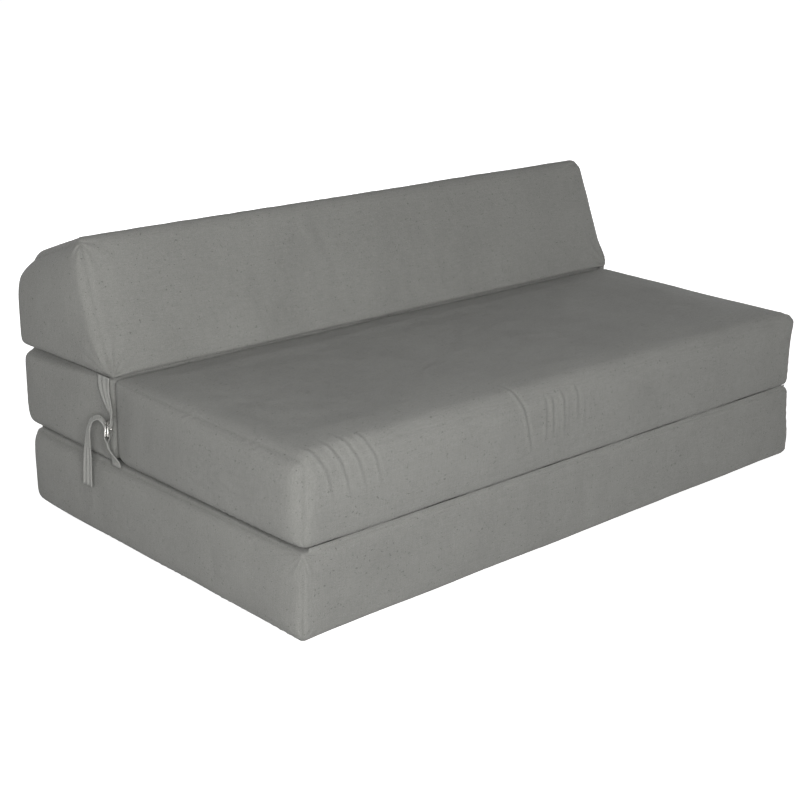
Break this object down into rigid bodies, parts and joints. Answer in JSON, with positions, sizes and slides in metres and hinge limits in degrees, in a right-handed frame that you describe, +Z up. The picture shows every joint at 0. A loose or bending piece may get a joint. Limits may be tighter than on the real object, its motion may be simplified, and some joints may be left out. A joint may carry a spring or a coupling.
{
  "type": "futon sofa bed",
  "caption": "Low armless foam sofa whose seat and rear riser fold out from the base into a flat bed, with a wedge backrest tied down by a buckled strap at each end.",
  "frame": {"origin": "on the floor under the middle of the base", "axes": "+X along the sofa, -Y towards the front, +Z up"},
  "size_m": [1.4414, 0.7996, 0.5481],
  "materials": {
    "cover_fabric": "woven cotton, matt",
    "webbing": "folded cover fabric, stitched along its edges",
    "foam": "open-cell foam, matt",
    "zip_tape": "woven tape with a row of teeth",
    "metal": "nickel plate"
  },
  "bodies": {
    "base": {"base_cover": "cover_fabric", "base_foam_core": "foam", "base_zip_tape": "zip_tape", "front_hinge_strip": "cover_fabric", "rear_hinge_strip": "cover_fabric"},
    "seat": {"seat_cover": "cover_fabric", "seat_foam_core": "foam", "seat_zip_tape": "zip_tape"},
    "riser": {"riser_cover": "cover_fabric", "riser_foam_core": "foam", "riser_zip_tape": "zip_tape", "back_hinge_strip": "cover_fabric"},
    "back": {"back_cover": "cover_fabric", "back_foam_core": "foam", "back_zip_tape": "zip_tape"},
    "base_slider": {"base_zip_slider": "metal"},
    "base_pull": {"base_zip_pull": "metal"},
    "seat_slider": {"seat_zip_slider": "metal"},
    "seat_pull": {"seat_zip_pull": "metal"},
    "riser_slider": {"riser_zip_slider": "metal"},
    "riser_pull": {"riser_zip_pull": "metal"},
    "back_slider": {"back_zip_slider": "metal"},
    "back_pull": {"back_zip_pull": "metal"},
    "strap_left": {"tie_strap_left": "webbing"},
    "tab_left": {"buckle_tab_left": "webbing"},
    "ring_inner_left": {"d_ring_inner_left": "metal"},
    "ring_outer_left": {"d_ring_outer_left": "metal"},
    "strap_right": {"tie_strap_right": "webbing"},
    "tab_right": {"buckle_tab_right": "webbing"},
    "ring_inner_right": {"d_ring_inner_right": "metal"},
    "ring_outer_right": {"d_ring_outer_right": "metal"}
  },
  "joints": [
    {"name": "seat_fold", "type": "hinge", "parent": "base", "child": "seat", "pos_m": [0, -0.399, 0.1565], "axis": [1, 0, 0], "range_deg": [0, 180], "deforming": ["front_hinge_strip"]},
    {"name": "riser_fold", "type": "hinge", "parent": "base", "child": "riser", "pos_m": [0, 0.399, 0.1565], "axis": [-1, 0, 0], "range_deg": [0, 180], "deforming": ["rear_hinge_strip"]},
    {"name": "back_keep_upright", "type": "hinge", "parent": "riser", "child": "back", "pos_m": [0, 0.125, 0.3145], "axis": [-1, 0, 0], "range_deg": [-180, 0], "deforming": ["back_hinge_strip"]},
    {"name": "base_zip_slide", "type": "slide", "parent": "base", "child": "base_slider", "axis": [1, 0, 0], "range_m": [-1.18, 0]},
    {"name": "base_pull_flip", "type": "hinge", "parent": "base_slider", "child": "base_pull", "pos_m": [0.59, 0.3981, 0.045], "axis": [0, 0, -1], "range_deg": [0, 180]},
    {"name": "seat_zip_slide", "type": "slide", "parent": "seat", "child": "seat_slider", "axis": [1, 0, 0], "range_m": [-1.18, 0]},
    {"name": "seat_pull_flip", "type": "hinge", "parent": "seat_slider", "child": "seat_pull", "pos_m": [0.59, 0.1241, 0.228], "axis": [0, 0, -1], "range_deg": [0, 8]},
    {"name": "riser_zip_slide", "type": "slide", "parent": "riser", "child": "riser_slider", "axis": [1, 0, 0], "range_m": [-1.18, 0]},
    {"name": "riser_pull_flip", "type": "hinge", "parent": "riser_slider", "child": "riser_pull", "pos_m": [0.59, 0.3981, 0.203], "axis": [0, 0, -1], "range_deg": [0, 180]},
    {"name": "back_zip_slide", "type": "slide", "parent": "back", "child": "back_slider", "axis": [1, 0, 0], "range_m": [-1.18, 0]},
    {"name": "back_pull_flip", "type": "hinge", "parent": "back_slider", "child": "back_pull", "pos_m": [0.59, 0.3981, 0.361], "axis": [0, 0, -1], "range_deg": [0, 180]},
    {"name": "strap_left_release", "type": "hinge", "parent": "back", "child": "strap_left", "pos_m": [-0.68, 0.146, 0.316], "axis": [0, 1, 0], "range_deg": [0, 90], "deforming": ["tie_strap_left"]},
    {"name": "tab_left_drop", "type": "hinge", "parent": "base", "child": "tab_left", "pos_m": [-0.6805, 0.112, 0.1565], "axis": [0, -1, 0], "range_deg": [0, 108]},
    {"name": "ring_inner_left_swing", "type": "hinge", "parent": "tab_left", "child": "ring_inner_left", "pos_m": [-0.69635, 0.1104, 0.221], "axis": [-0.6947, -0.7193, 0], "range_deg": [-6, 3]},
    {"name": "ring_outer_left_swing", "type": "hinge", "parent": "tab_left", "child": "ring_outer_left", "pos_m": [-0.69965, 0.1136, 0.221], "axis": [-0.6947, -0.7193, 0], "range_deg": [0, 60]},
    {"name": "strap_right_release", "type": "hinge", "parent": "back", "child": "strap_right", "pos_m": [0.68, 0.146, 0.316], "axis": [0, -1, 0], "range_deg": [0, 90], "deforming": ["tie_strap_right"]},
    {"name": "tab_right_drop", "type": "hinge", "parent": "base", "child": "tab_right", "pos_m": [0.6805, 0.112, 0.1565], "axis": [0, 1, 0], "range_deg": [0, 108]},
    {"name": "ring_inner_right_swing", "type": "hinge", "parent": "tab_right", "child": "ring_inner_right", "pos_m": [0.69635, 0.1104, 0.221], "axis": [-0.6947, 0.7193, 0], "range_deg": [-6, 3]},
    {"name": "ring_outer_right_swing", "type": "hinge", "parent": "tab_right", "child": "ring_outer_right", "pos_m": [0.69965, 0.1136, 0.221], "axis": [-0.6947, 0.7193, 0], "range_deg": [0, 60]}
  ],
  "couplings": [
    {"joint": "back_keep_upright", "follows": "riser_fold", "ratio": -1},
    {"joint": "strap_left_release", "follows": "riser_fold", "ratio": 0.5},
    {"joint": "tab_left_drop", "follows": "riser_fold", "ratio": 0.6},
    {"joint": "strap_right_release", "follows": "riser_fold", "ratio": 0.5},
    {"joint": "tab_right_drop", "follows": "riser_fold", "ratio": 0.6}
  ]
}
